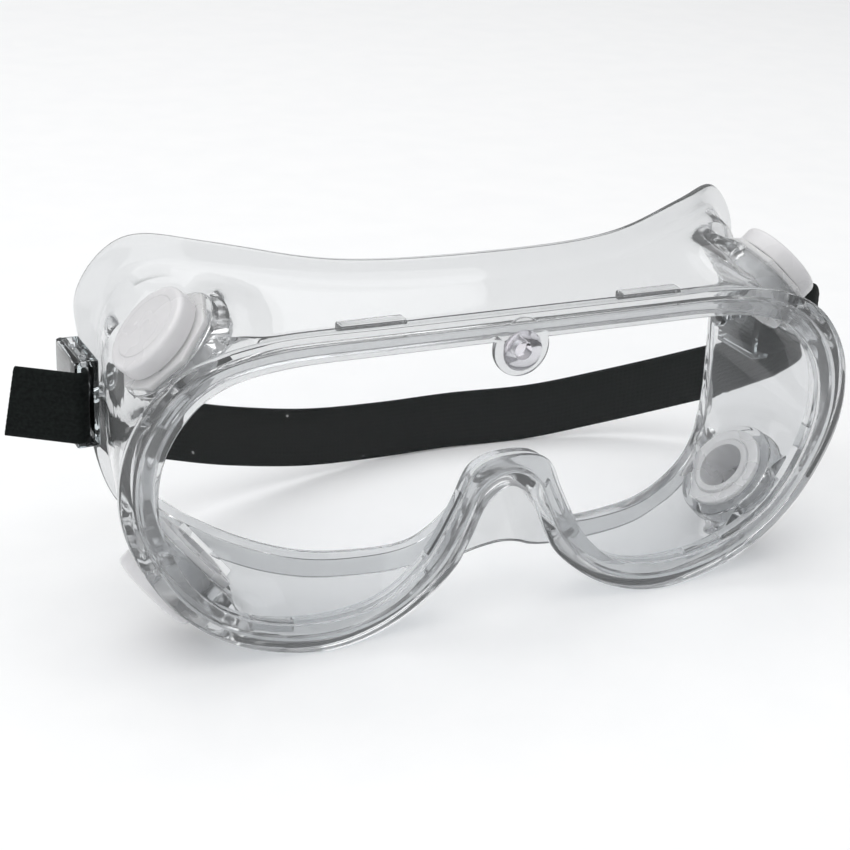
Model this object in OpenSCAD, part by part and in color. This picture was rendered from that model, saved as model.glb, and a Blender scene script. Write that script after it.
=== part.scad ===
// Indirect-vent safety goggles: a soft clear frame, a flat lens, four capped
// vents, two swivelling strap clips and an elastic strap.
// Frame of reference: the origin is on the lens's front face, in the plane of
// symmetry and level with the clips' pins. -Y points out of the lens, +Y to the
// wearer's face and +Z up. The goggles stand on the rim and the strap's loop.
// The outlines below are drawn from the rim's front face and its middle height,
// and datum() moves each piece from there to the origin.

/* [Frame] */
// Thickness of the soft shroud wall
wall = 1.6; // [1.2:0.1:2.2]
// Thickness of the face flange
flange_t = 1.4; // [1:0.1:2]
// Depth of the front rim, from its face to where the shroud begins
rim_depth = 6; // [5.5:0.1:7]

/* [Lens] */
// Thickness of the lens
lens_t = 2; // [1.6:0.1:2.2]
// Thickness of the rim's lip in front of the lens
lip_t = 1.2; // [1:0.1:1.4]
// Diameter of the retaining stud's head
stud_d = 8.6; // [6:0.1:9]

/* [Vents] */
// Diameter of a vent cap
cap_d = 19; // [17.5:0.5:19.5]
// Height of a vent cap
cap_h = 4.2; // [3.5:0.1:5]
// Width across the flats of a vent seat's octagonal flange
seat_flats = 21.4; // [20:0.1:22]
// Diameter of the bore through a vent
vent_bore = 11; // [8:0.5:11.5]

/* [Strap] */
// Width of the elastic strap
strap_w = 15; // [12:0.5:15.5]
// Thickness of the elastic strap
strap_t = 1.2; // [0.8:0.1:1.3]
// Length of the strap's loose tail at the left clip
tail = 15; // [6:1:20]

/* [Hidden] */
$fn = 48;

// Gap between fitted pieces that may turn or slide on each other
gap = 0.05;
// Gap between curved pieces that only lie near each other
clear = 0.3;
// Lowest level, where the rim and the strap stand
floor_z = -34;
// Height of the clips' pins
pivot_z = 14.2;

module datum() {
    translate([0, -lip_t, -pivot_z]) children();
}

// ---- outlines: each is half a loop, from the top centre round to the nose ----

// Edge of the window in the rim: [x, z]
window_half = [
    [0, 28.9], [28, 28.9], [50, 28.6], [64, 25.3], [72.3, 16.5], [75, 6], [73, -5], [66, -17],
    [54.5, -24.5], [40, -26.9], [27.5, -24.8], [18.5, -17.5], [12, -6], [8, 2], [0, 3.9]
];
// Outermost edge of the rim's bead: [x, z]
bead_half = [
    [0, 34.3], [29, 34.3], [54, 34], [70.5, 29.2], [79.8, 18.8], [82.5, 6], [79.6, -6.5], [71, -20],
    [57.5, -29.8], [40, floor_z], [25, -30.5], [12.8, -21.5], [8, -13], [5.2, -6.8], [0, -3.3]
];
// Fold where the shroud turns into the face flange: [x, y, z]
fold_half = [
    [0, 15, 38.7], [30, 19, 38.4], [53, 28, 40.2], [67, 37, 40], [73.8, 41.5, 31], [74.6, 42.5, 18],
    [74, 41.5, 4.5], [69, 35, -7.5], [57.5, 23.5, -14], [42, 16, -18.5], [27, 13.5, -19.5],
    [16.5, 11.5, -17.5], [10.5, 9.5, -12.5], [6, 8.5, -7], [0, 8, -4.5]
];
// Outer edge of the face flange: [x, y, z]
edge_half = [
    [0, 17, 42], [31, 21.5, 41.8], [54, 30.5, 44.8], [69.2, 40, 44.6], [78.2, 44, 32.5], [76.6, 45, 17],
    [76.2, 44, 3], [72.5, 36, -11.5], [60, 23.5, -18.5], [43, 16, -23.8], [27, 13, -24.9],
    [16, 10.5, -23.6], [9, 7, -21], [4.5, 4.8, -18.6], [0, 4, -17.6]
];

// Points put between two control points
steps = 4;

function lift(p, y) = [p[0], y, p[1]];
function mix(a, b, k) = a + (b - a) * k;
function unit(v) = v / norm(v);
function mirrored(p) = [-p[0], each [for (i = [1:len(p) - 1]) p[i]]];
// A half outline with its mirror image, as one closed loop of control points
function whole(half) = concat(half, [for (i = [len(half) - 2:-1:1]) mirrored(half[i])]);
// A point on the smooth curve through four control points
function between(a, b, c, d, t) =
    b + (c - a) * t / 2 + (2 * a - 5 * b + 4 * c - d) * t * t / 2 + (3 * b - a - 3 * c + d) * t * t * t / 2;
// The closed smooth curve through a loop of control points
function smooth(loop) = let (n = len(loop)) [
    for (i = [0:n - 1], s = [0:steps - 1])
        between(loop[(i + n - 1) % n], loop[i], loop[(i + 1) % n], loop[(i + 2) % n], s / steps)
];

window = smooth(whole(window_half));
bead = smooth(whole(bead_half));
fold = smooth(whole(fold_half));
edge = smooth(whole(edge_half));
outward = [for (i = [0:len(window) - 1]) lift(unit(bead[i] - window[i]), 0)];

// A loop part of the way from the window's edge (0) to the bead's edge (1)
function band(k) = [for (i = [0:len(window) - 1]) mix(window[i], bead[i], k)];
function rail(k, y) = [for (p = band(k)) lift(p, y)];

groove_y0 = lip_t - gap;
groove_y1 = lip_t + lens_t + gap;
groove_k = 0.58;
lens_k = 0.5;
// How far the shroud's wall swells outwards half way along
swell = 0.3;
shroud_out = rail(0.82, rim_depth);
shroud_in = rail(0.5, rim_depth);
fold_in = [for (i = [0:len(fold) - 1]) fold[i] - outward[i] * wall + [0, 1, 0]];
function belly(a, b) = [for (i = [0:len(a) - 1]) (a[i] + b[i]) / 2 + outward[i] * swell];

// The frame's cross-section, as loops that run all the way round it
frame_rails = [
    rail(0, 0), rail(0.7, 0), rail(1, 0.9), rail(1, 2.3), rail(0.84, 3.4),
    shroud_out, belly(shroud_out, fold), fold,
    edge, [for (p = edge) p + [0, flange_t, 0]],
    fold_in, belly(shroud_in, fold_in), shroud_in,
    rail(0.04, rim_depth - 0.6), rail(0.04, groove_y1),
    rail(groove_k, groove_y1), rail(groove_k, groove_y0), rail(0, groove_y0)
];

// A closed tube-like solid skinned over loops, each with the same point count
module skin(rails) {
    m = len(rails);
    n = len(rails[0]);
    points = [for (i = [0:n - 1], j = [0:m - 1]) rails[j][i]];
    function at(i, j) = (i % n) * m + (j % m);
    faces = [
        for (i = [0:n - 1], j = [0:m - 1])
            each [[at(i, j), at(i + 1, j + 1), at(i + 1, j)], [at(i, j), at(i, j + 1), at(i + 1, j + 1)]]
    ];
    polyhedron(points, faces);
}

// ---- vents ----

// Outward lean of a vent's axis from the vertical
vent_lean = 48;
// Places of the vents on the shroud: [side, up or down, position of the boss's face]
vent_places = [
    [-1, 1, [68, 16, 30.4]], [1, 1, [68, 16, 30.4]],
    [-1, -1, [67.2, 16.5, -18.5]], [1, -1, [67.2, 16.5, -18.5]]
];
seat_r = seat_flats / 2 / cos(22.5);
pocket_r = seat_r + clear;
pocket_h = 12;
boss_r = pocket_r + 0.5;
boss_h = 5;
neck_r = 7;
socket_r = 7.4;
seat_t = 1.4;
collar_h = 2.6;
ring_t = 1.4;
ring_r = neck_r + 2.6;
neck_end = boss_h + ring_t + 0.4;
cap_roof = 1.4;
cap_lift = 0.5;
slot_w = 2.4;

// The shroud made thick inwards, from which the walls of the vents' pockets are cut
deep = 6;
function inwards(rail) = [for (i = [0:len(rail) - 1]) rail[i] - outward[i] * deep];
thick_rails = [shroud_out, belly(shroud_out, fold), fold, inwards(fold), inwards(shroud_out)];

// Puts children on vent i, with their +Z along the vent's outward axis
module on_vent(i) {
    place = vent_places[i];
    at = [place[0] * place[2][0], place[2][1], place[2][2]];
    tilt = place[1] > 0 ? place[0] * vent_lean : place[0] * (180 - vent_lean);
    translate(at) rotate([0, tilt, 0]) children();
}

// Puts children along +Y at a place on the lens's face
module facing_back(x, y, z) {
    translate([x, y, z]) rotate([-90, 0, 0]) children();
}

// ---- strap clips ----

pivot_y = 37;
pin_r = 1.5;
pin_head_r = 2.6;
clip_x = 77.7;
clip_t = 1.2;
clip_len = 15;
clip_h = 18.4;
channel = 2.45;
// Width left at each side of the opening in a clip's top
top_edge = 0.4;
clip_out = clip_x + 2 * clip_t + channel;
strap_x = clip_out - clip_t - clear - strap_t / 2 - 0.05;
slot_h = strap_w + 1;
strap_low = pivot_z - strap_w / 2;

// The stud, just under the window's top edge, and the tab of the rim that it goes through
stud_z = 26.8;
shank_r = 1.6;
tab_r = 6.2;
tab_up = 0.6;

// Two raised lugs on top of the rim: [width, depth, height] and place
lug_size = [14, 3.4, 2.8];
lug_at = [24, 2.6, 32.3];

module frame() {
    color([0.88, 0.92, 0.94]) difference() {
        union() {
            skin(frame_rails);
            for (i = [0:3]) on_vent(i) translate([0, 0, -boss_h]) cylinder(r = boss_r, h = boss_h);
            intersection() {
                skin(thick_rails);
                for (i = [0:3]) on_vent(i) translate([0, 0, -boss_h])
                    cylinder(r = pocket_r + wall, h = boss_h + pocket_h);
            }
            facing_back(0, 0, stud_z + tab_up) cylinder(r = tab_r, h = groove_y0);
            for (side = [0, 1]) mirror([side, 0, 0])
                translate(lug_at) cube(lug_size);
        }
        for (i = [0:3]) on_vent(i) {
            cylinder(r = pocket_r, h = pocket_h);
            translate([0, 0, -boss_h - 1]) cylinder(r = neck_r + gap, h = boss_h + 2);
            translate([0, 0, -boss_h - 2 * ring_t]) cylinder(r = ring_r + clear, h = 2 * ring_t);
        }
        facing_back(0, -1, stud_z) cylinder(r = shank_r + gap, h = 3);
        for (side = [0, 1]) mirror([side, 0, 0])
            translate([70, pivot_y, pivot_z]) rotate([0, 90, 0]) cylinder(r = pin_r + gap, h = 12);
    }
}

module lens() {
    color([0.8, 0.88, 0.92, 0.5]) difference() {
        translate([0, lip_t + lens_t, 0]) rotate([90, 0, 0]) linear_extrude(lens_t) polygon(band(lens_k));
        facing_back(0, 0, stud_z) cylinder(r = shank_r + gap, h = 8);
    }
}

// A domed head, a shank through the lens and a barb behind it
module lens_stud() {
    back = lip_t + lens_t + gap;
    color([0.85, 0.87, 0.88]) facing_back(0, 0, stud_z) rotate_extrude() polygon([
        [0, -2.4], [stud_d * 0.22, -2.3], [stud_d * 0.38, -1.8], [stud_d / 2, -0.9], [stud_d / 2, 0],
        [shank_r, 0], [shank_r, back], [shank_r + 1, back], [1.2, back + 1.6], [0, back + 1.6]
    ]);
}

module vent_seat(i) {
    color([0.9, 0.91, 0.92]) on_vent(i) difference() {
        union() {
            cylinder(r = seat_r, h = seat_t, $fn = 8);
            translate([0, 0, -neck_end]) cylinder(r = neck_r, h = neck_end + 0.1);
            cylinder(r = socket_r, h = seat_t + collar_h);
        }
        translate([0, 0, -20]) cylinder(d = vent_bore, h = 40);
        for (turn = [0:60:120]) rotate([0, 0, turn])
            translate([-20, -slot_w / 2, seat_t]) cube([40, slot_w, 10]);
    }
}

module vent_ring(i) {
    color([0.9, 0.91, 0.92]) on_vent(i) translate([0, 0, -boss_h - ring_t]) difference() {
        cylinder(r = ring_r, h = ring_t);
        translate([0, 0, -1]) cylinder(r = neck_r + gap, h = ring_t + 2);
    }
}

module vent_cap(i) {
    round = 1;
    inner = socket_r + clear;
    color([0.93, 0.94, 0.95]) on_vent(i) translate([0, 0, seat_t + cap_lift]) rotate_extrude() polygon([
        [inner, 0], [cap_d / 2, 0], [cap_d / 2, cap_h - round],
        for (a = [15:15:90]) [cap_d / 2 - round + round * cos(a), cap_h - round + round * sin(a)],
        [0, cap_h], [0, cap_h - cap_roof], [inner, cap_h - cap_roof]
    ]);
}

// A channel that the strap runs through, turning on a pin at the frame's side
module strap_clip() {
    color([0.84, 0.87, 0.88]) difference() {
        translate([clip_x, pivot_y - clip_len / 2, pivot_z - clip_h / 2])
            cube([clip_out - clip_x, clip_len, clip_h]);
        translate([clip_x + clip_t, pivot_y - clip_len, pivot_z - slot_h / 2])
            cube([channel, clip_len * 2, slot_h]);
        translate([clip_x + clip_t + top_edge, pivot_y - clip_len / 4, pivot_z])
            cube([channel - 2 * top_edge, clip_len / 2, clip_h]);
        translate([clip_x - 1, pivot_y, pivot_z]) rotate([0, 90, 0]) cylinder(r = pin_r + gap, h = clip_t + 2);
    }
}

module clip_pin() {
    head_t = 0.55;
    inside = 1.6;
    from = 72.6;
    color([0.8, 0.83, 0.85]) translate([from, pivot_y, pivot_z]) rotate([0, 90, 0]) union() {
        translate([0, 0, -inside]) cylinder(r = pin_head_r, h = inside);
        cylinder(r = pin_r, h = clip_x + clip_t + gap + head_t - from);
        translate([0, 0, clip_x + clip_t + gap - from]) cylinder(r = pin_head_r, h = head_t);
    }
}

// ---- strap ----

// Direction of the path at point i
function heading(path, i) =
    unit(path[min(i + 1, len(path) - 1)] - path[max(i - 1, 0)]);
// A path widened by t into a closed outline
function ribbon(path, t) = let (n = len(path), side = [
    for (i = [0:n - 1]) let (h = heading(path, i)) [-h[1], h[0]] * t / 2
]) concat([for (i = [0:n - 1]) path[i] + side[i]], [for (i = [n - 1:-1:0]) path[i] - side[i]]);

// Plan of the strap through a right-hand clip and round its outer wall
turn_r = clip_t / 2 + clear + strap_t / 2 + 0.05;
turn_at = [strap_x + turn_r, pivot_y - clip_len / 2 + 0.2];
function clip_path(back, exit_angle, run) = concat(
    [[strap_x, back]],
    [for (a = [180:20:360 - exit_angle]) turn_at + turn_r * [cos(a), sin(a)]],
    [turn_at + turn_r * [cos(exit_angle), -sin(exit_angle)] + run * [sin(exit_angle), cos(exit_angle)]]
);
strap_color = [0.07, 0.08, 0.08];

module strap_end(back, exit_angle, run) {
    color(strap_color) translate([0, 0, strap_low]) linear_extrude(strap_w)
        polygon(ribbon(clip_path(back, exit_angle, run), strap_t));
}

// Centre line of the strap's lower edge, from the left clip round to the right
band_points = [
    [-strap_x, 50.5, strap_low], [-76, 55, -1], [-64, 61, -11], [-50, 68, -18], [-34, 75, -24.5],
    [-13, 82, -30.5], [8, 86.5, -33.3], [28, 87.5, -33.7], [50, 86, -33.7], [69, 82, -30.5],
    [85, 74, -25], [96, 63, -18], [102, 51, -9.5], [101.5, 40.5, -1], [96.5, 34, 5], [91, 31.5, strap_low]
];
// The open smooth curve through a list of points
function open_curve(pts) = let (n = len(pts)) concat([
    for (i = [0:n - 2], s = [0:steps - 1])
        between(pts[max(i - 1, 0)], pts[i], pts[i + 1], pts[min(i + 2, n - 1)], s / steps)
], [pts[n - 1]]);

module strap_band() {
    path = open_curve(band_points);
    n = len(path);
    function across(i) = let (h = heading(path, i)) unit([-h[1], h[0], 0]) * strap_t / 2;
    up = [0, 0, strap_w];
    points = [for (i = [0:n - 1]) let (p = path[i], w = across(i)) each [p - w, p + w, p + w + up, p - w + up]];
    sides = [for (i = [0:n - 2], j = [0:3]) let (a = 4 * i + j, b = 4 * i + (j + 1) % 4) each [
        [a, b, b + 4], [a, b + 4, a + 4]
    ]];
    last = 4 * (n - 1);
    ends = [[3, 2, 1, 0], [last, last + 1, last + 2, last + 3]];
    color(strap_color) polyhedron(points, concat(sides, ends));
}

datum() frame();
datum() lens();
datum() lens_stud();
datum() vent_seat(0);  // vent_seat_ul
datum() vent_seat(1);  // vent_seat_ur
datum() vent_seat(2);  // vent_seat_ll
datum() vent_seat(3);  // vent_seat_lr
datum() vent_cap(0);  // vent_cap_ul
datum() vent_cap(1);  // vent_cap_ur
datum() vent_cap(2);  // vent_cap_ll
datum() vent_cap(3);  // vent_cap_lr
datum() vent_ring(0);  // vent_ring_ul
datum() vent_ring(1);  // vent_ring_ur
datum() vent_ring(2);  // vent_ring_ll
datum() vent_ring(3);  // vent_ring_lr
datum() mirror([1, 0, 0]) strap_clip();  // strap_clip_left
datum() strap_clip();  // strap_clip_right
datum() mirror([1, 0, 0]) clip_pin();  // clip_pin_left
datum() clip_pin();  // clip_pin_right
datum() mirror([1, 0, 0]) strap_end(48.5, 54, tail);  // strap_end_left
datum() strap_end(47, 78, 5.5);  // strap_end_right
datum() strap_band();
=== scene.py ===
"""Indirect-vent safety goggles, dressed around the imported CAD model.

Sizes are in millimetres until a mesh is made. The outlines are drawn from the
rim's front face and its middle height, as in the CAD source, and ORIGIN moves
them into the shared frame, whose origin is on the lens's front face.
"""

import math
from itertools import product

import bmesh
import bpy
import numpy as np
from mathutils import Matrix, Vector


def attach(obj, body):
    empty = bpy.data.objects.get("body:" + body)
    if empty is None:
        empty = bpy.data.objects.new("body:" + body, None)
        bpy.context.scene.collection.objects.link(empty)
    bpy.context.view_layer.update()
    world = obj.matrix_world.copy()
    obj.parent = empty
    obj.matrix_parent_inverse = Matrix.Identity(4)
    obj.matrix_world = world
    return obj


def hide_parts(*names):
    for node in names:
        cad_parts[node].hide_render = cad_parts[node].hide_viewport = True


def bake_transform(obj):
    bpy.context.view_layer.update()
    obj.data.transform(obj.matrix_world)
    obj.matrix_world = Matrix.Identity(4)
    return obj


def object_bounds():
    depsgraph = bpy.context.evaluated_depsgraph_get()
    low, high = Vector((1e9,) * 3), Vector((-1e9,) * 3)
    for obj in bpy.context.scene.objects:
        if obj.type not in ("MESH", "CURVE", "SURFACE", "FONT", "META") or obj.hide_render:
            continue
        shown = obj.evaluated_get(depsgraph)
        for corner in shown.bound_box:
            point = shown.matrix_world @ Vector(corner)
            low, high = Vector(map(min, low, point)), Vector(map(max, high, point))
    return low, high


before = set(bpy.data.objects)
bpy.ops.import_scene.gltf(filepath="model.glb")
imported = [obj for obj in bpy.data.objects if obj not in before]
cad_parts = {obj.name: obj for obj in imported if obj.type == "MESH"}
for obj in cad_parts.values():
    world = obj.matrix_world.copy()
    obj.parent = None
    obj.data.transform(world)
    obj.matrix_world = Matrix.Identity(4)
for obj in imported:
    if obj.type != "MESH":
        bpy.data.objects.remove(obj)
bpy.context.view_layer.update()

MM = 0.001
LIP_T = 1.2
LENS_T = 2.0
WALL = 1.6
FLANGE_T = 1.4
RIM_DEPTH = 6.0
PIVOT_Y, PIVOT_Z = 37.0, 14.2
ORIGIN = np.array([0.0, -LIP_T, -PIVOT_Z])
GAP = 0.05  # running clearance between pieces
SKIN = 0.02  # lift that keeps two touching faces apart

# ---- outlines: half a loop, from the top centre round to the nose ----

WINDOW_HALF = [
    (0, 28.9), (28, 28.9), (50, 28.6), (64, 25.3), (72.3, 16.5), (75, 6), (73, -5), (66, -17),
    (54.5, -24.5), (40, -26.9), (27.5, -24.8), (18.5, -17.5), (12, -6), (8, 2), (0, 3.9),
]
BEAD_HALF = [
    (0, 34.3), (29, 34.3), (54, 34), (70.5, 29.2), (79.8, 18.8), (82.5, 6), (79.6, -6.5), (71, -20),
    (57.5, -29.8), (40, -34), (25, -30.5), (12.8, -21.5), (8, -13), (5.2, -6.8), (0, -3.3),
]
FOLD_HALF = [
    (0, 15, 38.7), (30, 19, 38.4), (53, 28, 40.2), (67, 37, 40), (73.8, 41.5, 31), (74.6, 42.5, 18),
    (74, 41.5, 4.5), (69, 35, -7.5), (57.5, 23.5, -14), (42, 16, -18.5), (27, 13.5, -19.5),
    (16.5, 11.5, -17.5), (10.5, 9.5, -12.5), (6, 8.5, -7), (0, 8, -4.5),
]
EDGE_HALF = [
    (0, 17, 42), (31, 21.5, 41.8), (54, 30.5, 44.8), (69.2, 40, 44.6), (78.2, 44, 32.5), (76.6, 45, 17),
    (76.2, 44, 3), (72.5, 36, -11.5), (60, 23.5, -18.5), (43, 16, -23.8), (27, 13, -24.9),
    (16, 10.5, -23.6), (9, 7, -21), (4.5, 4.8, -18.6), (0, 4, -17.6),
]
STEPS = 12  # points along each stretch of an outline
SMOOTHINGS = 6


def unit(v):
    return v / np.linalg.norm(v, axis=-1, keepdims=True)


def between(a, b, c, d, t):
    """A point on the smooth curve from b to c."""
    return (
        b
        + (c - a) * t / 2
        + (2 * a - 5 * b + 4 * c - d) * t * t / 2
        + (3 * b - a - 3 * c + d) * t**3 / 2
    )


def closed_curve(half):
    """The smooth closed curve through a half outline and its mirror image."""
    right = np.array(half, float)
    left = right[-2:0:-1].copy()
    left[:, 0] *= -1
    loop = np.vstack([right, left])
    n = len(loop)
    curve = np.array([
        between(loop[i - 1], loop[i], loop[(i + 1) % n], loop[(i + 2) % n], s / STEPS)
        for i in range(n)
        for s in range(STEPS)
    ])
    for _ in range(SMOOTHINGS):
        curve = (np.roll(curve, 1, 0) + 2 * curve + np.roll(curve, -1, 0)) / 4
    return curve


def upright(points, y):
    """[x, z] points as [x, y, z]."""
    return np.stack([points[:, 0], np.full(len(points), float(y)), points[:, 1]], 1)


WINDOW, BEAD = closed_curve(WINDOW_HALF), closed_curve(BEAD_HALF)
FOLD, EDGE = closed_curve(FOLD_HALF), closed_curve(EDGE_HALF)
OUTWARD = upright(unit(BEAD - WINDOW), 0)
STATIONS = len(WINDOW)


def rail(k, y):
    """The loop part of the way from the window's edge (0) to the bead's edge (1)."""
    return upright(WINDOW + (BEAD - WINDOW) * k, y)


def belly(a, b, k, swell):
    """The loop part of the way from loop a to loop b, pushed outwards."""
    return a + (b - a) * k + OUTWARD * swell


# ---- mesh helpers ----

ON_AXIS = 1e-6


def new_object(name, verts, faces):
    """An object from points in millimetres, with its faces turned outwards."""
    mesh = bpy.data.meshes.new(name)
    mesh.from_pydata(((np.asarray(verts) + ORIGIN) * MM).tolist(), [], faces)
    bm = bmesh.new()
    bm.from_mesh(mesh)
    bmesh.ops.remove_doubles(bm, verts=bm.verts, dist=1e-6)
    bmesh.ops.recalc_face_normals(bm, faces=bm.faces)
    bm.to_mesh(mesh)
    bm.free()
    obj = bpy.data.objects.new(name, mesh)
    bpy.context.scene.collection.objects.link(obj)
    return obj


def grid_faces(rows, cols, wrap_rows=True):
    """Quads over a grid of points whose columns close up, and whose rows may."""
    faces = []
    for i in range(rows if wrap_rows else rows - 1):
        for j in range(cols):
            i2, j2 = (i + 1) % rows, (j + 1) % cols
            faces.append((i * cols + j, i * cols + j2, i2 * cols + j2, i2 * cols + j))
    return faces


def capped_faces(rows, cols):
    """The quads of a grid with open rows, and a flat face at each end."""
    ends = [tuple(range(cols)), tuple(range((rows - 1) * cols, rows * cols))]
    return grid_faces(rows, cols, wrap_rows=False) + ends


def loft(name, rails):
    """A closed ring of a solid, skinned over loops with the same point count."""
    points = np.stack(rails, 1).reshape(-1, 3)
    return new_object(name, points, grid_faces(len(rails[0]), len(rails)))


def short_loft(name, rails, first, last):
    """The stretch of such a solid between two stations, with flat ends."""
    wanted = [i % STATIONS for i in range(first, last + 1)]
    points = np.stack([r[wanted] for r in rails], 1).reshape(-1, 3)
    return new_object(name, points, capped_faces(len(wanted), len(rails)))


def lathe(name, profile, place, segments=96):
    """A solid of revolution about local Z, from a profile of [radius, height] points.

    A profile that starts on the axis also ends there, and any other one closes on itself.
    """
    verts, faces, rings = [], [], []
    turn = [2 * math.pi * s / segments for s in range(segments)]
    for r, h in profile:
        if r < ON_AXIS:
            rings.append([len(verts)])
            verts.append((0, 0, h))
        else:
            rings.append(list(range(len(verts), len(verts) + segments)))
            verts += [(r * math.cos(a), r * math.sin(a), h) for a in turn]
    if profile[0][0] > ON_AXIS:
        rings.append(rings[0])
    for low, high in zip(rings, rings[1:]):
        for s in range(segments):
            t = (s + 1) % segments
            quad = [low[s % len(low)], low[t % len(low)], high[t % len(high)], high[s % len(high)]]
            corners = list(dict.fromkeys(quad))
            if len(corners) > 2:
                faces.append(tuple(corners))
    return new_object(name, [place @ Vector(v) for v in verts], faces)


def bend(a, corner, b, s):
    """A point on the curve from a to b that rounds off the corner between them."""
    return (1 - s) ** 2 * a + 2 * s * (1 - s) * corner + s * s * b


def rounded(corners, trims, arc=4):
    """A profile of [r, h] points whose corners are replaced by short curves."""
    out = []
    n = len(corners)
    for i, (here, trim) in enumerate(zip(corners, trims)):
        here = np.array(here, float)
        if trim == 0:
            out.append(tuple(here))
            continue
        before, after = np.array(corners[i - 1], float), np.array(corners[(i + 1) % n], float)
        a, b = here + unit(before - here) * trim, here + unit(after - here) * trim
        out += [tuple(bend(a, here, b, s)) for s in np.linspace(0, 1, arc + 1)]
    return out


def apply_modifiers(obj):
    bpy.context.view_layer.update()
    shape = obj.evaluated_get(bpy.context.evaluated_depsgraph_get())
    mesh = bpy.data.meshes.new_from_object(shape)
    obj.modifiers.clear()
    obj.data = mesh


def combine(obj, tool, operation):
    """Joins obj with tool or cuts it by tool, which is then removed."""
    change = obj.modifiers.new("combine", "BOOLEAN")
    change.operation, change.object, change.solver = operation, tool, "MANIFOLD"
    apply_modifiers(obj)
    bpy.data.objects.remove(tool)


def bevelled(obj, width, segments=3):
    edge = obj.modifiers.new("edge", "BEVEL")
    edge.width, edge.segments, edge.limit_method = width * MM, segments, "ANGLE"
    edge.angle_limit = math.radians(30)
    apply_modifiers(obj)
    return obj


def smooth_shade(obj, angle):
    """Smooth faces, with the edges sharper than angle kept crisp."""
    bm = bmesh.new()
    bm.from_mesh(obj.data)
    limit = math.radians(angle)
    for f in bm.faces:
        f.smooth = True
    for e in bm.edges:
        e.smooth = len(e.link_faces) == 2 and e.calc_face_angle(0) < limit
    bm.to_mesh(obj.data)
    bm.free()


def cuboid(name, low, high):
    faces = [(0, 1, 3, 2), (4, 6, 7, 5), (0, 4, 5, 1), (2, 3, 7, 6), (0, 2, 6, 4), (1, 5, 7, 3)]
    return new_object(name, list(product(*zip(low, high))), faces)


def cylinder(name, place, radius, low, high, segments=96):
    return lathe(name, [(0, low), (radius, low), (radius, high), (0, high)], place, segments)


def moved(obj, place):
    """Takes an object that was made about the outlines' origin to a place in millimetres."""
    in_metres = place.copy()
    in_metres.translation *= MM
    obj.data.transform(Matrix.Translation(Vector(-ORIGIN * MM)))
    obj.data.transform(Matrix.Translation(Vector(ORIGIN * MM)) @ in_metres)
    return obj


def facing_back(x, y, z):
    """Local Z along +Y at a place in the outlines' millimetres."""
    return Matrix.Translation((x, y, z)) @ Matrix.Rotation(-math.pi / 2, 4, "X")


def along_x(x, y, z, side):
    """Local Z pointing outwards along X, on one side."""
    return Matrix.Translation((side * x, y, z)) @ Matrix.Rotation(side * math.pi / 2, 4, "Y")


def in_frame(x, y, z):
    """A place in the outlines' millimetres as metres in the shared frame."""
    return tuple((np.array([x, y, z]) + ORIGIN) * MM)


# ---- materials ----

NOISE_LOW, NOISE_HIGH = 0.3, 0.7  # nearly all of a noise's values lie between these


def shader_nodes(name):
    material = bpy.data.materials.new(name)
    material.use_nodes = True
    nodes, links = material.node_tree.nodes, material.node_tree.links
    return material, nodes, links, nodes["Principled BSDF"]


def add_noise(nodes, links, scale, detail):
    coords = nodes.new("ShaderNodeTexCoord")
    noise = nodes.new("ShaderNodeTexNoise")
    noise.inputs["Scale"].default_value = scale
    noise.inputs["Detail"].default_value = detail
    links.new(coords.outputs["Object"], noise.inputs["Vector"])
    return noise


def add_bump(nodes, links, height, strength, distance, after=None):
    """A bump whose distance is in millimetres, on top of an earlier bump if one is given."""
    bump = nodes.new("ShaderNodeBump")
    bump.inputs["Strength"].default_value = strength
    bump.inputs["Distance"].default_value = distance * MM
    links.new(height, bump.inputs["Height"])
    if after is not None:
        links.new(after.outputs["Normal"], bump.inputs["Normal"])
    return bump


def add_range(nodes, links, value, low, high):
    scaled = nodes.new("ShaderNodeMapRange")
    scaled.inputs["From Min"].default_value = NOISE_LOW
    scaled.inputs["From Max"].default_value = NOISE_HIGH
    scaled.inputs["To Min"].default_value = low
    scaled.inputs["To Max"].default_value = high
    links.new(value, scaled.inputs["Value"])
    return scaled.outputs["Result"]


def add_colours(nodes, links, value, dark, light, low=0.35, high=0.65):
    ramp = nodes.new("ShaderNodeValToRGB")
    first, last = ramp.color_ramp.elements
    first.position, first.color = low, (*dark, 1)
    last.position, last.color = high, (*light, 1)
    links.new(value, ramp.inputs["Fac"])
    return ramp.outputs["Color"]


def let_light_through(nodes, links, shader, tint):
    """Lamps shine through the clear material, which would cast a black shadow otherwise."""
    path = nodes.new("ShaderNodeLightPath")
    clear = nodes.new("ShaderNodeBsdfTransparent")
    clear.inputs["Color"].default_value = (*tint, 1)
    either = nodes.new("ShaderNodeMixShader")
    links.new(path.outputs["Is Shadow Ray"], either.inputs["Fac"])
    links.new(shader.outputs["BSDF"], either.inputs[1])
    links.new(clear.outputs["BSDF"], either.inputs[2])
    links.new(either.outputs["Shader"], nodes["Material Output"].inputs["Surface"])


def add_depth_tint(nodes, links, tint, density):
    depth = nodes.new("ShaderNodeVolumeAbsorption")
    depth.inputs["Color"].default_value = (*tint, 1)
    depth.inputs["Density"].default_value = density
    links.new(depth.outputs["Volume"], nodes["Material Output"].inputs["Volume"])


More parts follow.
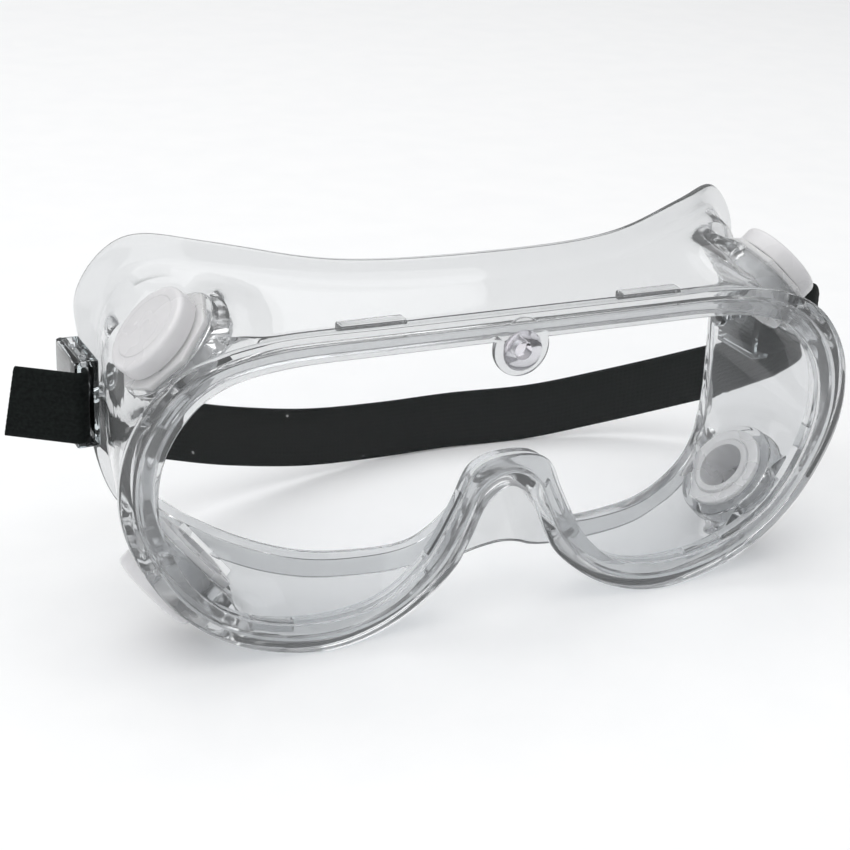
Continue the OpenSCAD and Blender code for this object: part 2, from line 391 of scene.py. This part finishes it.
def clear_plastic(
    name, colour, ior, roughness, waviness, wave_size,
    shade=(0.80, 0.81, 0.82), tint=None, density=60.0, haze=0.0,
):
    """A clear moulded plastic: faint waves in its surface, fine dust, and a tint in its depth.

    wave_size is in millimetres, shade is the colour of its shadow, and haze is how far it is opaque.
    """
    material, nodes, links, shader = shader_nodes(name)
    shader.inputs["Transmission Weight"].default_value = 1.0 - haze
    shader.inputs["IOR"].default_value = ior
    dust = add_noise(nodes, links, 900, 6)
    dusty = [c * 0.985 for c in colour]
    surface = add_colours(nodes, links, dust.outputs["Fac"], dusty, colour, 0.3, 0.5)
    links.new(surface, shader.inputs["Base Color"])
    gloss = add_range(nodes, links, dust.outputs["Fac"], roughness * 0.6, roughness * 1.6)
    links.new(gloss, shader.inputs["Roughness"])
    waves = add_noise(nodes, links, 1 / (wave_size * MM), 2)
    wavy = add_bump(nodes, links, waves.outputs["Fac"], waviness, 0.35)
    grain = add_bump(nodes, links, dust.outputs["Fac"], 0.02, 0.02, wavy)
    links.new(grain.outputs["Normal"], shader.inputs["Normal"])
    if tint is not None:
        add_depth_tint(nodes, links, tint, density)
    let_light_through(nodes, links, shader, shade)
    return material


def milky_plastic(name, dark, light, soft, through):
    """Translucent white polythene: soft inside, with a satin skin and faint flow marks."""
    material, nodes, links, shader = shader_nodes(name)
    flow = add_noise(nodes, links, 110, 2)
    links.new(add_colours(nodes, links, flow.outputs["Fac"], dark, light), shader.inputs["Base Color"])
    shader.inputs["Subsurface Weight"].default_value = soft
    shader.inputs["Subsurface Radius"].default_value = (0.004, 0.004, 0.0042)
    shader.inputs["Subsurface Scale"].default_value = 1.0
    shader.inputs["Transmission Weight"].default_value = through
    shader.inputs["IOR"].default_value = 1.45
    links.new(add_range(nodes, links, flow.outputs["Fac"], 0.22, 0.34), shader.inputs["Roughness"])
    fine = add_noise(nodes, links, 2400, 2)
    grain = add_bump(nodes, links, fine.outputs["Fac"], 0.03, 0.01)
    links.new(grain.outputs["Normal"], shader.inputs["Normal"])
    let_light_through(nodes, links, shader, (0.6, 0.6, 0.6))
    return material


def add_threads(nodes, links):
    """Threads across the webbing, which follow its length and width."""
    where = nodes.new("ShaderNodeUVMap")
    where.uv_map = "strap"
    threads = nodes.new("ShaderNodeTexWave")
    threads.wave_type, threads.bands_direction = "BANDS", "X"
    threads.inputs["Scale"].default_value = 260.0
    threads.inputs["Distortion"].default_value = 2.5
    threads.inputs["Detail"].default_value = 2.0
    links.new(where.outputs["UV"], threads.inputs["Vector"])
    return threads


def add_lint(nodes, links, cloth):
    """Sparse pale specks over the cloth's colour."""
    lint = add_noise(nodes, links, 620, 1)
    specks = add_colours(nodes, links, lint.outputs["Fac"], (0, 0, 0), (1, 1, 1), 0.79, 0.81)
    both = nodes.new("ShaderNodeMix")
    both.data_type = "RGBA"
    both.inputs["B"].default_value = (0.35, 0.37, 0.36, 1)
    links.new(specks, both.inputs["Factor"])
    links.new(cloth, both.inputs["A"])
    return both.outputs["Result"]


def elastic():
    """Black elastic webbing: threads across the ribs, a soft sheen and specks of lint."""
    material, nodes, links, shader = shader_nodes("elastic_webbing")
    threads = add_threads(nodes, links)
    fuzz = add_noise(nodes, links, 1500, 4)
    black, worn = (0.002, 0.003, 0.003), (0.009, 0.012, 0.011)
    cloth = add_colours(nodes, links, fuzz.outputs["Fac"], black, worn)
    links.new(add_lint(nodes, links, cloth), shader.inputs["Base Color"])
    shader.inputs["Sheen Weight"].default_value = 0.02
    shader.inputs["Sheen Roughness"].default_value = 0.5
    shader.inputs["Specular IOR Level"].default_value = 0.12
    links.new(add_range(nodes, links, fuzz.outputs["Fac"], 0.7, 0.92), shader.inputs["Roughness"])
    woven = add_bump(nodes, links, threads.outputs["Fac"], 0.2, 0.1)
    hairy = add_bump(nodes, links, fuzz.outputs["Fac"], 0.35, 0.1, woven)
    links.new(hairy.outputs["Normal"], shader.inputs["Normal"])
    return material


def paper():
    """The pale floor: matt, with a trace of grain."""
    material, nodes, links, shader = shader_nodes("pale_floor")
    grain = add_noise(nodes, links, 60, 4)
    dark, light = (0.925, 0.93, 0.935), (0.94, 0.943, 0.946)
    links.new(add_colours(nodes, links, grain.outputs["Fac"], dark, light), shader.inputs["Base Color"])
    shader.inputs["Roughness"].default_value = 0.85
    shader.inputs["Specular IOR Level"].default_value = 0.15
    return material


VINYL = clear_plastic(
    "clear_vinyl", colour=(0.80, 0.808, 0.814), ior=1.43, roughness=0.045,
    waviness=0.05, wave_size=9, tint=(0.66, 0.68, 0.69), density=12, haze=0.06,
)
POLYCARBONATE = clear_plastic(
    "clear_polycarbonate", colour=(0.97, 0.973, 0.978), ior=1.16, roughness=0.008,
    waviness=0.01, wave_size=30, shade=(0.86, 0.87, 0.88),
)
STUD_PLASTIC = clear_plastic(
    "stud_plastic", colour=(0.95, 0.94, 0.96), ior=1.5, roughness=0.04,
    waviness=0.1, wave_size=4, tint=(0.6, 0.56, 0.64),
)
HARD_CLEAR = clear_plastic(
    "hard_clear", colour=(0.96, 0.97, 0.975), ior=1.52, roughness=0.03,
    waviness=0.12, wave_size=5, tint=(0.58, 0.66, 0.68),
)
MILKY = milky_plastic("milky_plastic", (0.655, 0.65, 0.66), (0.685, 0.68, 0.69), soft=0.5, through=0.0)
FROSTED = milky_plastic("frosted_plastic", (0.76, 0.76, 0.765), (0.80, 0.80, 0.805), soft=0.4, through=0.35)
ELASTIC = elastic()


def finish_piece(obj, material, body, slot, *nodes, angle):
    """Shades a piece, rides it on its body if it has one, and hides the CAD nodes it stands for."""
    obj.data.materials.clear()
    obj.data.materials.append(material)
    smooth_shade(obj, angle)
    if body:
        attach(obj, body)
    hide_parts(*nodes)


# ---- vents: their sizes and places, which also shape the frame ----

VENT_LEAN = 48.0
# Each vent's side, whether it is up (1) or down (-1), and its place as seen on the right
VENT_PLACES = {
    "ul": (-1, 1, (68, 16, 30.4)),
    "ur": (1, 1, (68, 16, 30.4)),
    "ll": (-1, -1, (67.2, 16.5, -18.5)),
    "lr": (1, -1, (67.2, 16.5, -18.5)),
}
CAP_BODIES = {
    "ul": "cap_upper_left",
    "ur": "cap_upper_right",
    "ll": "cap_lower_left",
    "lr": "cap_lower_right",
}
SEAT_ACROSS = 21.4  # the octagon, across its flats
SEAT_R = SEAT_ACROSS / 2 / math.cos(math.radians(22.5))
SEAT_T = 1.4
NECK_R = 7.0
RING_R, RING_T = 9.6, 1.4
BOSS_R, BOSS_H = SEAT_R + 0.3, 5.0
BLEND = 7.0  # width of the wall's blend into a boss
SUNK = 0.5  # how far the settled wall lies under the boss's ends
NEAR, FAR = 3.0, 12.0  # distances from the boss's top at which its pull is full, and gone


def on_vent(key):
    """Local Z along the vent's outward axis, from its seat's underside."""
    side, up, at = VENT_PLACES[key]
    tilt = VENT_LEAN if up > 0 else 180 - VENT_LEAN
    place = Matrix.Translation((side * at[0], at[1], at[2]))
    return place @ Matrix.Rotation(math.radians(side * tilt), 4, "Y")


def eased(t):
    return t * t * (3 - 2 * t)


def settled(points, level, inside=0.0):
    """The points near a vent brought to one level along its axis, and blended into the wall.

    inside is how far the points lie under the outer surface, so that both surfaces blend alike.
    """
    points = points.copy()
    for key in VENT_PLACES:
        place = on_vent(key)
        at, turn = np.array(place.translation), np.array(place.to_3x3())
        local = (points - at) @ turn
        off_axis = np.hypot(local[:, 0], local[:, 1])
        close = np.clip((BOSS_R + BLEND - off_axis) / BLEND, 0, 1)
        near = np.clip((FAR - np.abs(local[:, 2] + inside + SUNK)) / (FAR - NEAR), 0, 1)
        pull = eased(close) * eased(near)
        local[:, 2] += (level - local[:, 2]) * pull
        moved_points = local @ turn.T + at
        points[pull > 0] = moved_points[pull > 0]
    return points


# ---- frame ----

GROOVE_Y0, GROOVE_Y1 = LIP_T - GAP, LIP_T + LENS_T + GAP
GROOVE_K = 0.58  # the groove's bottom, as a share of the rim's width
SHROUD_OUT, SHROUD_IN = rail(0.82, RIM_DEPTH), rail(0.5, RIM_DEPTH)
FOLD_IN = FOLD - OUTWARD * WALL + [0, 1, 0]
SWELL = 0.3

# Corners of the frame's cross-section with how far each is rounded, in order round it
SECTION = [
    (rail(0, 0), 0.35),
    (rail(0.7, 0), 0.9),
    (rail(1, 0.9), 0.5),
    (rail(1, 2.3), 0.5),
    (rail(0.84, 3.4), 0.7),
    (SHROUD_OUT, 1.6),
    (belly(SHROUD_OUT, FOLD, 0.5, SWELL), 6),
    (FOLD, 1.8),
    (EDGE, 0.6),
    (EDGE + [0, FLANGE_T, 0], 0.6),
    (FOLD_IN, 1.8),
    (belly(SHROUD_IN, FOLD_IN, 0.5, SWELL), 6),
    (SHROUD_IN, 1.0),
    (rail(0.04, RIM_DEPTH - 0.6), 0.5),
    (rail(0.04, GROOVE_Y1), 0.2),
    (rail(GROOVE_K, GROOVE_Y1), 0.1),
    (rail(GROOVE_K, GROOVE_Y0), 0.1),
    (rail(0, GROOVE_Y0), 0.25),
]
SPACING = 1.5  # between the rails of a long stretch
MOST_TRIM = 0.45  # the share of a side that one corner's rounding may take
TIGHT = 0.4  # a smaller rounding than this takes fewer rails
# Where the vents shape the section: numbers of its corners, and of the stretches after them
OUTER_CORNERS, OUTER_STRETCHES = (5, 6), (5, 6)
INNER_CORNERS, INNER_STRETCHES = (11, 12), (10, 11)
INSIDE = WALL + 0.4  # the inner surface's depth under the outer one at a vent


def formed(points, outer, inner):
    """A rail with the vents' flats in it, if it lies on the outer or the inner side of one."""
    if outer:
        points = settled(points, -SUNK)
    if inner:
        points = settled(points, SUNK - BOSS_H, INSIDE)
    return points


def reach(trim, side):
    """How far a corner's rounding runs along the side next to it, at every station."""
    return np.minimum(trim, MOST_TRIM * np.linalg.norm(side, axis=1))[:, None]


def section_rails():
    """The frame's rails: each corner rounded, and the long stretches between them divided."""
    corners, trims = [c for c, _ in SECTION], [t for _, t in SECTION]
    m, rails = len(corners), []
    for j in range(m):
        here, before, after = corners[j], corners[j - 1], corners[(j + 1) % m]
        back, on = before - here, after - here
        a, b = here + unit(back) * reach(trims[j], back), here + unit(on) * reach(trims[j], on)
        bends = 2 if trims[j] < TIGHT else 4
        for s in np.linspace(0, 1, bends + 1):
            rails.append(formed(bend(a, here, b, s), j in OUTER_CORNERS, j in INNER_CORNERS))
        end = after - unit(on) * reach(trims[(j + 1) % m], on)
        parts = max(1, round(float(np.linalg.norm(end - b, axis=1).mean()) / SPACING))
        for p in range(1, parts):
            along = b + (end - b) * p / parts
            rails.append(formed(along, j in OUTER_STRETCHES, j in INNER_STRETCHES))
    return rails


STUD_Z, STUD_HOLE_R = 26.8, 1.65
TAB_R, TAB_UP = 6.2, 0.6  # the round tab of the lip, which the stud goes through
LUG_X, LUG_W, LUG_Z, LUG_H = 24.0, 14.0, 32.3, 2.8
LUG_Y0, LUG_Y1 = 2.6, 6.0
PIN_HOLE_R = 1.55
# Each pocket behind the lens, from and to a place that is counted in points of the outline
SLOTS = [(3.25, 3.85), (5.7, 6.1), (8.0, 8.6), (11.1, 12.3)]
SLOT_K0, SLOT_K1, SLOT_Y0, SLOT_Y1 = 0.16, 0.44, 3.6, 7.5


def slot_cutter(first, last, mirrored):
    """A pocket in the lip behind the lens, between two places along the rim."""
    lo, hi = round(first * STEPS), round(last * STEPS)
    if mirrored:
        lo, hi = STATIONS - hi, STATIONS - lo
    corners = [(SLOT_K0, SLOT_Y0), (SLOT_K0, SLOT_Y1), (SLOT_K1, SLOT_Y1), (SLOT_K1, SLOT_Y0)]
    return short_loft("slot", [rail(k, y) for k, y in corners], lo, hi)


def add_bosses(body):
    for key in VENT_PLACES:
        edge = rounded([(0, -BOSS_H), (BOSS_R, -BOSS_H), (BOSS_R, 0), (0, 0)], (0, 0.9, 0.4, 0))
        combine(body, lathe("boss", edge, on_vent(key)), "UNION")


def add_tab_and_lugs(body):
    corners = [(0, SKIN), (TAB_R, SKIN), (TAB_R, GROOVE_Y0), (0, GROOVE_Y0)]
    tab = rounded(corners, (0, 0.35, 0.2, 0))
    combine(body, lathe("tab", tab, facing_back(0, 0, STUD_Z + TAB_UP)), "UNION")
    for side in (-1, 1):
        x0, x1 = sorted((side * LUG_X, side * (LUG_X + LUG_W)))
        lug = cuboid("lug", (x0, LUG_Y0, LUG_Z), (x1, LUG_Y1, LUG_Z + LUG_H))
        combine(body, bevelled(lug, 0.5), "UNION")


def build_frame():
    """The soft moulding: rim, shroud, flange, bosses, tab and lugs, with its holes cut."""
    body = loft("goggle_frame", section_rails())
    add_bosses(body)
    add_tab_and_lugs(body)
    for key in VENT_PLACES:
        place = on_vent(key)
        combine(body, cylinder("neck", place, NECK_R + GAP, -BOSS_H - 1, 1), "DIFFERENCE")
        recess = cylinder("recess", place, RING_R + 0.3, -BOSS_H - 2 * RING_T, -BOSS_H)
        combine(body, recess, "DIFFERENCE")
    stud_hole = cylinder("stud_hole", facing_back(0, -1, STUD_Z), STUD_HOLE_R, 0, 3)
    combine(body, stud_hole, "DIFFERENCE")
    for side in (-1, 1):
        pin_hole = cylinder("pin_hole", along_x(70, PIVOT_Y, PIVOT_Z, side), PIN_HOLE_R, 0, 12)
        combine(body, pin_hole, "DIFFERENCE")
        for first, last in SLOTS:
            combine(body, slot_cutter(first, last, side < 0), "DIFFERENCE")
    finish_piece(body, VINYL, "frame", "soft_frame", "frame", angle=32)


# ---- lens and stud ----

LENS_K = 0.5  # the lens's edge, as a share of the rim's width
LENS_EASE = 0.2
RIM_W = 7  # the rim's usual width, which turns the ease into such a share


def build_lens():
    """The flat lens, with its edge eased and a hole for the stud."""
    front, back = LIP_T, LIP_T + LENS_T
    face_k = LENS_K - LENS_EASE / RIM_W
    rails = [
        rail(face_k, front),
        rail(LENS_K, front + LENS_EASE),
        rail(LENS_K, back - LENS_EASE),
        rail(face_k, back),
    ]
    points = np.stack(rails, 0).reshape(-1, 3)
    lens = new_object("clear_lens", points, capped_faces(len(rails), STATIONS))
    combine(lens, cylinder("hole", facing_back(0, 0, STUD_Z), STUD_HOLE_R, 0, 8), "DIFFERENCE")
    finish_piece(lens, POLYCARBONATE, "frame", "clear_lens", "lens", angle=30)


STUD_R, STUD_RISE = 4.3, 2.4
SHANK_R, BARB_R = 1.6, 2.6


def build_stud():
    """The domed stud through the lip's tab and the lens, with a barb behind them."""
    back = LIP_T + LENS_T + GAP
    dome = [(STUD_R * math.sin(a), -STUD_RISE * math.cos(a)) for a in np.linspace(0, 1.36, 10)]
    rim = [(STUD_R, -0.35), (STUD_R - 0.08, -0.03)]
    shank = [(SHANK_R, -0.03), (SHANK_R, back)]
    barb = [(BARB_R - 0.05, back), (BARB_R, back + 0.2), (1.3, back + 1.45), (0, back + 1.6)]
    stud = lathe("lens_retaining_stud", dome + rim + shank + barb, facing_back(0, 0, STUD_Z), 64)
    finish_piece(stud, STUD_PLASTIC, "frame", "clear_stud", "lens_stud", angle=40)


# ---- vents ----

BARREL_END, BARREL_EDGE = -6.85, -6.4
COLLAR_R, COLLAR_H, BORE_R = 7.4, 2.6, 5.5
AIRWAY_W = 2.4
CAP_R, CAP_H, CAP_T, CAP_LIFT = 9.5, 4.2, 1.4, 0.5
CAP_INNER_R, CAP_STEP_R, CAP_STEP = 7.7, 6.9, 0.12


def build_seat(key):
    """The octagonal flange, its barrel through the boss and a slotted collar under the cap."""
    place = on_vent(key)
    seat = cylinder("flange", place, SEAT_R, SKIN, SEAT_T, 8)
    bevelled(seat, 0.35)
    barrel = [
        (0, BARREL_END), (NECK_R - 0.3, BARREL_END), (NECK_R, BARREL_EDGE), (NECK_R, 0.4), (0, 0.4),
    ]
    combine(seat, lathe("barrel", barrel, place), "UNION")
    combine(seat, cylinder("collar", place, COLLAR_R, 0.5, SEAT_T + COLLAR_H), "UNION")
    combine(seat, cylinder("bore", place, BORE_R, -10, 10), "DIFFERENCE")
    for turn in (0, 60, 120):
        airway = cuboid("airway", (-20, -AIRWAY_W / 2, SEAT_T), (20, AIRWAY_W / 2, 10))
        moved(airway, place @ Matrix.Rotation(math.radians(turn), 4, "Z"))
        combine(seat, airway, "DIFFERENCE")
    seat.name = f"vent_seat_{key}_moulded"
    finish_piece(seat, FROSTED, "frame", "vent_plastic", f"vent_seat_{key}", angle=30)


def build_cap(key):
    """The snap-on cap: a soft-edged dish with a faint step round its top."""
    low = SEAT_T + CAP_LIFT
    top = low + CAP_H
    corners = [
        (0, top), (CAP_STEP_R, top), (CAP_STEP_R + 0.2, top - CAP_STEP), (CAP_R, top - CAP_STEP),
        (CAP_R, low), (CAP_INNER_R, low), (CAP_INNER_R, top - CAP_T), (0, top - CAP_T),
    ]
    profile = rounded(corners, (0, 0.15, 0.15, 1.15, 0.25, 0.2, 0.4, 0), 7)
    cap = lathe(f"vent_cap_{key}_moulded", profile, on_vent(key), 128)
    finish_piece(cap, MILKY, CAP_BODIES[key], "vent_plastic", f"vent_cap_{key}", angle=50)


def build_ring(key):
    inner, low, high = NECK_R + GAP, -BOSS_H - RING_T, -BOSS_H - SKIN
    profile = rounded([(inner, low), (RING_R, low), (RING_R, high), (inner, high)], (0.3,) * 4)
    ring = lathe(f"vent_ring_{key}_moulded", profile, on_vent(key))
    finish_piece(ring, FROSTED, "frame", "vent_plastic", f"vent_ring_{key}", angle=50)


# ---- strap clips ----

STRAP_W, STRAP_T = 15.0, 1.2
STRAP_PLAY, RIB_ROOM = 0.3, 0.05
CLIP_X = 77.7  # the clip's inner face
CLIP_T = 1.2
CLIP_LEN = 15.0
CLIP_H = 18.4
CHANNEL = 2.45
CLIP_OUT = CLIP_X + 2 * CLIP_T + CHANNEL
CLIP_Y0, CLIP_Y1 = PIVOT_Y - CLIP_LEN / 2, PIVOT_Y + CLIP_LEN / 2
CLIP_WINDOW = 7.5
STRAP_X = CLIP_OUT - CLIP_T - STRAP_PLAY - STRAP_T / 2 - RIB_ROOM
STRAP_LOW = PIVOT_Z - STRAP_W / 2
SLOT_H = STRAP_W + 1


def mirrored_box(name, side, low, high):
    x0, x1 = sorted((side * low[0], side * high[0]))
    return cuboid(name, (x0, low[1], low[2]), (x1, high[1], high[2]))


def clip_channel(side):
    """The way for the strap, open at both ends of the clip."""
    low = (CLIP_X + CLIP_T, CLIP_Y0 - 5, PIVOT_Z - SLOT_H / 2)
    high = (CLIP_OUT - CLIP_T, CLIP_Y1 + 5, PIVOT_Z + SLOT_H / 2)
    return bevelled(mirrored_box("channel", side, low, high), 0.35, 2)


def clip_window(side):
    """The opening in the clip's top."""
    inset, half = CLIP_T + 0.4, CLIP_WINDOW / 2
    low = (CLIP_X + inset, PIVOT_Y - half, PIVOT_Z)
    high = (CLIP_OUT - inset, PIVOT_Y + half, PIVOT_Z + 18)
    return bevelled(mirrored_box("window", side, low, high), 0.5)


def build_clip(side, word):
    """A clear channel with eased edges, a window in its top and a hole for its pin."""
    low = (CLIP_X, CLIP_Y0, PIVOT_Z - CLIP_H / 2)
    high = (CLIP_OUT, CLIP_Y1, PIVOT_Z + CLIP_H / 2)
    clip = bevelled(mirrored_box(f"clear_clip_{word}", side, low, high), 0.55, 4)
    combine(clip, clip_channel(side), "DIFFERENCE")
    combine(clip, clip_window(side), "DIFFERENCE")
    start = along_x(CLIP_X - 1, PIVOT_Y, PIVOT_Z, side)
    combine(clip, cylinder("hole", start, PIN_HOLE_R, 0, CLIP_T + 2, 48), "DIFFERENCE")
    finish_piece(clip, HARD_CLEAR, f"clip_{word}", "clear_clip", f"strap_clip_{word}", angle=35)


PIN_X, PIN_R = 72.6, 1.5
PIN_HEAD_R, PIN_HEAD_T, PIN_RIVET_T = 2.6, 1.6, 0.55


def build_pin(side, word):
    """The clip's pivot: a shank with a head inside the frame and a flat one in the channel."""
    end = CLIP_X + CLIP_T + GAP - PIN_X
    corners = [
        (0, -PIN_HEAD_T), (PIN_HEAD_R, -PIN_HEAD_T), (PIN_HEAD_R, 0), (PIN_R, 0),
        (PIN_R, end), (PIN_HEAD_R, end), (PIN_HEAD_R, end + PIN_RIVET_T), (0, end + PIN_RIVET_T),
    ]
    profile = rounded(corners, (0, 0.4, 0.15, 0, 0, 0.1, 0.2, 0), 3)
    pin = lathe(f"clear_pin_{word}", profile, along_x(PIN_X, PIVOT_Y, PIVOT_Z, side), 48)
    finish_piece(pin, HARD_CLEAR, "frame", "clear_clip", f"clip_pin_{word}", angle=40)


# ---- strap ----

# Centre line of the strap's lower edge, from the left clip round to the right
BAND_POINTS = [
    (-76, 55, -1), (-64, 61, -11), (-50, 68, -18), (-34, 75, -24.5),
    (-13, 82, -30.5), (8, 86.5, -33.3), (28, 87.5, -33.7), (50, 86, -33.7), (69, 82, -30.5),
    (85, 74, -25), (96, 63, -18), (102, 51, -9.5), (101.5, 40.5, -1), (96.5, 34, 5), (91, 31.3, STRAP_LOW),
]
MEETING = 11  # the number of the point where the strap's two lengths meet
TURN_R = CLIP_T / 2 + STRAP_PLAY + STRAP_T / 2 + RIB_ROOM
TURN_STEP = 18  # degrees between the points of the strap's turn
TAIL, TAIL_SLANT = 15.0, 2.2
TAIL_SLOPE = 0.7  # how far the tail runs back for each step outwards
RIBS, RIB_H = 12, 0.11
BORDER = 0.5  # the plain round border beyond the ribs
STRAP_SPACING = 0.9


def round_clip(side, exit_angle, run):
    """The strap's way from inside a clip's channel, round its outer wall and away."""
    centre = np.array([STRAP_X + TURN_R, CLIP_Y0 + 0.2])
    inside = [np.array([STRAP_X, y]) for y in (48.5, 46, 42, 38, 34, 31)]
    angles = np.radians(np.arange(180, 361 - exit_angle, TURN_STEP))
    turn = [centre + TURN_R * np.array([math.cos(a), math.sin(a)]) for a in angles]
    away, rest = math.radians(exit_angle), math.radians(90 - exit_angle)
    out = np.array([math.sin(away), math.cos(away)])
    leave = centre + TURN_R * np.array([math.sin(rest), -math.cos(rest)])
    path = inside + turn + [leave + out * r for r in run]
    return [(side * p[0], p[1], STRAP_LOW) for p in path]


def open_curve(points):
    """The smooth curve through a list of points, as evenly spaced points and their distances."""
    pts = np.array(points, float)
    n, steps = len(pts), 24
    fine = [
        between(pts[max(i - 1, 0)], pts[i], pts[i + 1], pts[min(i + 2, n - 1)], s / steps)
        for i in range(n - 1)
        for s in range(steps)
    ]
    fine = np.array(fine + [pts[-1]])
    far = np.concatenate([[0], np.cumsum(np.linalg.norm(np.diff(fine, axis=0), axis=1))])
    wanted = np.linspace(0, far[-1], max(2, round(far[-1] / STRAP_SPACING)))
    return np.stack([np.interp(wanted, far, fine[:, a]) for a in range(3)], 1), wanted


def strap_section():
    """[across, up] points of the webbing's cross-section: ribs on both faces, round edges."""
    half = STRAP_T / 2
    low, high = BORDER, STRAP_W - BORDER
    heights = np.linspace(low, high, RIBS * 6 + 1)
    wave = np.abs(np.sin(np.pi * RIBS * (heights - low) / (STRAP_W - 2 * BORDER)))
    right = list(zip(half - RIB_H + RIB_H * wave, heights))
    left = [(-w, h) for w, h in reversed(right)]
    turn = np.linspace(0, math.pi, 7)[1:-1]
    upper = [(-math.cos(a) * (half - RIB_H), high + BORDER * math.sin(a)) for a in turn[::-1]]
    lower = [(-math.cos(a) * (half - RIB_H), low - BORDER * math.sin(a)) for a in turn]
    return np.array(right + upper + left + lower)


def sweep_strap(name, points, start_at=0.0):
    """The webbing along a path, with flat ends and its own length and width as its UV map."""
    path, far = open_curve(points)
    heading = np.gradient(path, axis=0)
    across = unit(np.stack([-heading[:, 1], heading[:, 0], np.zeros(len(path))], 1))
    section = strap_section()
    rows, cols = len(path), len(section)
    verts = path[:, None, :] + across[:, None, :] * section[None, :, :1]
    verts = verts + np.array([0, 0, 1.0]) * section[None, :, 1:]
    obj = new_object(name, verts.reshape(-1, 3), capped_faces(rows, cols))
    length = np.repeat(far + start_at, cols)
    width = np.tile(section[:, 1], rows)
    layer = obj.data.uv_layers.new(name="strap")
    for loop in obj.data.loops:
        layer.data[loop.index].uv = (length[loop.vertex_index] * MM, width[loop.vertex_index] * MM)
    return obj, float(far[-1])


def lean_tail(strap, end):
    """Draws the upper edge of the loose end back, as it hangs when it is cut at a slant."""
    tip = in_frame(*end)
    for v in strap.data.vertices:
        near = max(0.0, 1 - math.hypot(v.co.x - tip[0], v.co.y - tip[1]) / (TAIL * MM))
        pull = TAIL_SLANT * MM * near * (v.co.z - tip[2]) / (STRAP_W * MM)
        v.co.x += pull
        v.co.y -= pull * TAIL_SLOPE


def build_strap():
    """The strap in two lengths, one from each clip, which meet behind the frame. Gives its length."""
    left = round_clip(-1, 54, (0.6, 4, 8, 12, TAIL))
    right = round_clip(1, 78, (0.6, 3))
    main, used = sweep_strap("strap_main", left[::-1] + BAND_POINTS[: MEETING + 1])
    lean_tail(main, left[-1])
    finish_piece(main, ELASTIC, None, "elastic_strap", "strap_band", "strap_end_left", angle=50)
    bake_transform(main)
    end, more = sweep_strap("strap_right_end", BAND_POINTS[MEETING:] + right[::-1], used)
    finish_piece(end, ELASTIC, None, "elastic_strap", "strap_end_right", angle=50)
    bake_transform(end)
    return used + more


# ---- stage, light and camera, in metres ----

FLOOR_HALF = 12.0
CAMERA_AT = (-0.16846, -0.30590, 0.13977)
CAMERA_YAW, CAMERA_PITCH, CAMERA_ROLL = 25.88, 22.53, 2.63


def area_light(name, place, target, size, power):
    lamp = bpy.data.lights.new(name, "AREA")
    lamp.shape, lamp.size, lamp.size_y = "RECTANGLE", size[0], size[1]
    lamp.energy = power
    obj = bpy.data.objects.new(name, lamp)
    obj.location = place
    obj.rotation_euler = (Vector(target) - Vector(place)).to_track_quat("-Z", "Y").to_euler()
    bpy.context.scene.collection.objects.link(obj)


def build_world():
    """A white studio, darker towards the horizon and below so that clear edges draw themselves."""
    world = bpy.data.worlds.new("studio")
    world.use_nodes = True
    nodes, links = world.node_tree.nodes, world.node_tree.links
    coords = nodes.new("ShaderNodeTexCoord")
    split = nodes.new("ShaderNodeSeparateXYZ")
    links.new(coords.outputs["Generated"], split.inputs["Vector"])
    height = split.outputs["Z"]
    sky = add_colours(nodes, links, height, (0.30, 0.31, 0.33), (1.0, 1.0, 1.0), 0.0, 0.75)
    middle = sky.node.color_ramp.elements.new(0.25)
    middle.color = (0.72, 0.73, 0.75, 1)
    background = nodes["Background"]
    links.new(sky, background.inputs["Color"])
    background.inputs["Strength"].default_value = 0.53
    bpy.context.scene.world = world


def build_floor(level):
    corners = [(-1, -1), (1, -1), (1, 1), (-1, 1)]
    mesh = bpy.data.meshes.new("floor")
    verts = [(x * FLOOR_HALF, y * FLOOR_HALF, level) for x, y in corners]
    mesh.from_pydata(verts, [], [(0, 1, 2, 3)])
    floor = bpy.data.objects.new("floor", mesh)
    bpy.context.scene.collection.objects.link(floor)
    mesh.materials.append(paper())


def build_camera():
    """The camera of the reference view: it stands to the left and looks down to the right."""
    yaw, pitch, roll = (math.radians(a) for a in (CAMERA_YAW, CAMERA_PITCH, CAMERA_ROLL))
    right = Vector((math.cos(yaw), -math.sin(yaw), 0))
    back = Vector((
        -math.sin(yaw) * math.cos(pitch),
        -math.cos(yaw) * math.cos(pitch),
        math.sin(pitch),
    ))
    up = back.cross(right)
    x = right * math.cos(roll) + up * math.sin(roll)
    y = up * math.cos(roll) - right * math.sin(roll)
    turn = Matrix((x, y, back)).transposed().to_4x4()
    data = bpy.data.cameras.new("camera")
    data.lens, data.sensor_width = 78.96, 36
    data.clip_start, data.clip_end = 0.01, 50
    camera = bpy.data.objects.new("camera", data)
    camera.matrix_world = Matrix.Translation(CAMERA_AT) @ turn
    bpy.context.scene.collection.objects.link(camera)
    bpy.context.scene.camera = camera


bpy.context.scene.view_settings.view_transform = "Standard"
build_camera()
build_world()
build_frame()
build_lens()
build_stud()
for key in VENT_PLACES:
    build_seat(key)
    build_cap(key)
    build_ring(key)
for side, word in ((-1, "left"), (1, "right")):
    build_clip(side, word)
    build_pin(side, word)
strap_length = build_strap()
print(f"strap length {strap_length:.0f} mm")
low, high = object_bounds()
build_floor(low.z)
area_light("overhead", (-0.25, 0.1, 1.4), (0, 0.1, 0), (2.2, 2.0), 20)
area_light("left_fill", (-1.2, -0.6, 0.6), (0, 0, 0), (0.8, 0.8), 3)
